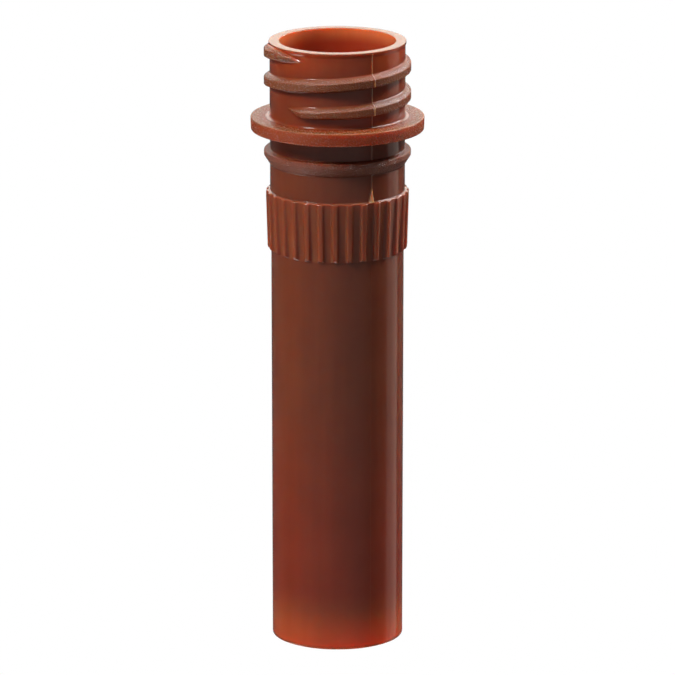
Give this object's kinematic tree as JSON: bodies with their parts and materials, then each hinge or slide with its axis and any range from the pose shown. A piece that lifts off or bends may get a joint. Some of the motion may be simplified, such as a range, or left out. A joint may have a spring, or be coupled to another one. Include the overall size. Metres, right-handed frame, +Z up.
{
  "type": "microcentrifuge tube",
  "caption": "Open screw-neck micro tube in translucent brown plastic: skirted base, round inner bottom, knurled grip collar, retaining bead, rack flange and external cap thread",
  "frame": {"origin": "centre of the foot ring, on the surface that the tube stands on", "axes": "+Z up the tube's axis to the mouth; -Y is the side in front of which the lower thread starts; +X is to the right seen from -Y"},
  "size_m": [0.0128, 0.0128, 0.045],
  "materials": {
    "brown_polypropylene": "translucent brown moulded polypropylene, glossy walls, fine satin grain on the thread, flange and bead"
  },
  "bodies": {
    "root": {"skirt": "brown_polypropylene", "round_bottom": "brown_polypropylene", "barrel": "brown_polypropylene", "grip_collar": "brown_polypropylene", "neck": "brown_polypropylene", "retaining_bead": "brown_polypropylene", "rack_flange": "brown_polypropylene", "screw_thread": "brown_polypropylene", "rim_lip": "brown_polypropylene", "index_fin": "brown_polypropylene"}
  },
  "joints": []
}
